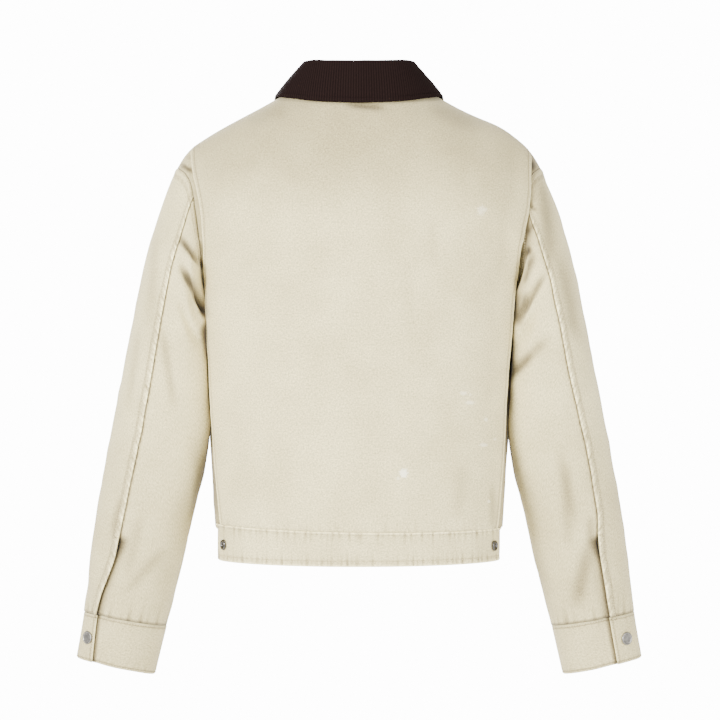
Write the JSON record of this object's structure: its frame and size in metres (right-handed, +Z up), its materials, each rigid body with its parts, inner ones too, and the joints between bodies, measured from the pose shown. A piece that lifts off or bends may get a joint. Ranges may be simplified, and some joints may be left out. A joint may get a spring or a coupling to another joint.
{
  "type": "bomber jacket",
  "caption": "Cropped canvas bomber jacket with a fold-over corduroy collar, side back pleats, waistband and snap cuffs, filled out as when worn.",
  "frame": {"origin": "middle of the neck, level with the shoulders' tops beside it", "axes": "+Z up, fronts face -Y, +X is the wearer's left"},
  "size_m": [0.6734, 0.2472, 0.7241],
  "materials": {
    "canvas": "undyed cotton canvas",
    "corduroy": "dark brown corduroy",
    "zip_tape": "woven cotton tape",
    "nickel": "satin nickel",
    "dark_nickel": "darkened nickel"
  },
  "bodies": {
    "jacket": {"back_centre": "canvas", "back_side_left": "canvas", "back_side_right": "canvas", "front_left": "canvas", "front_right": "canvas", "sleeve_upper_left": "canvas", "sleeve_under_left": "canvas", "sleeve_upper_right": "canvas", "sleeve_under_right": "canvas", "cuff_left": "canvas", "cuff_right": "canvas", "waistband_back": "canvas", "waistband_left": "canvas", "waistband_right": "canvas", "collar_stand": "corduroy", "collar_fall": "corduroy", "zip_tape_left": "zip_tape", "zip_tape_right": "zip_tape", "zip_slider": "dark_nickel", "cuff_snap_left": "nickel", "cuff_snap_right": "nickel", "band_snap_left": "dark_nickel", "band_snap_right": "dark_nickel"},
    "pull": {"zip_pull": "dark_nickel"}
  },
  "joints": [
    {"name": "pull_hinge", "type": "hinge", "parent": "jacket", "child": "pull", "pos_m": [0, -0.09774, -0.09304], "axis": [-1, 0, 0], "range_deg": [0, 150]}
  ]
}
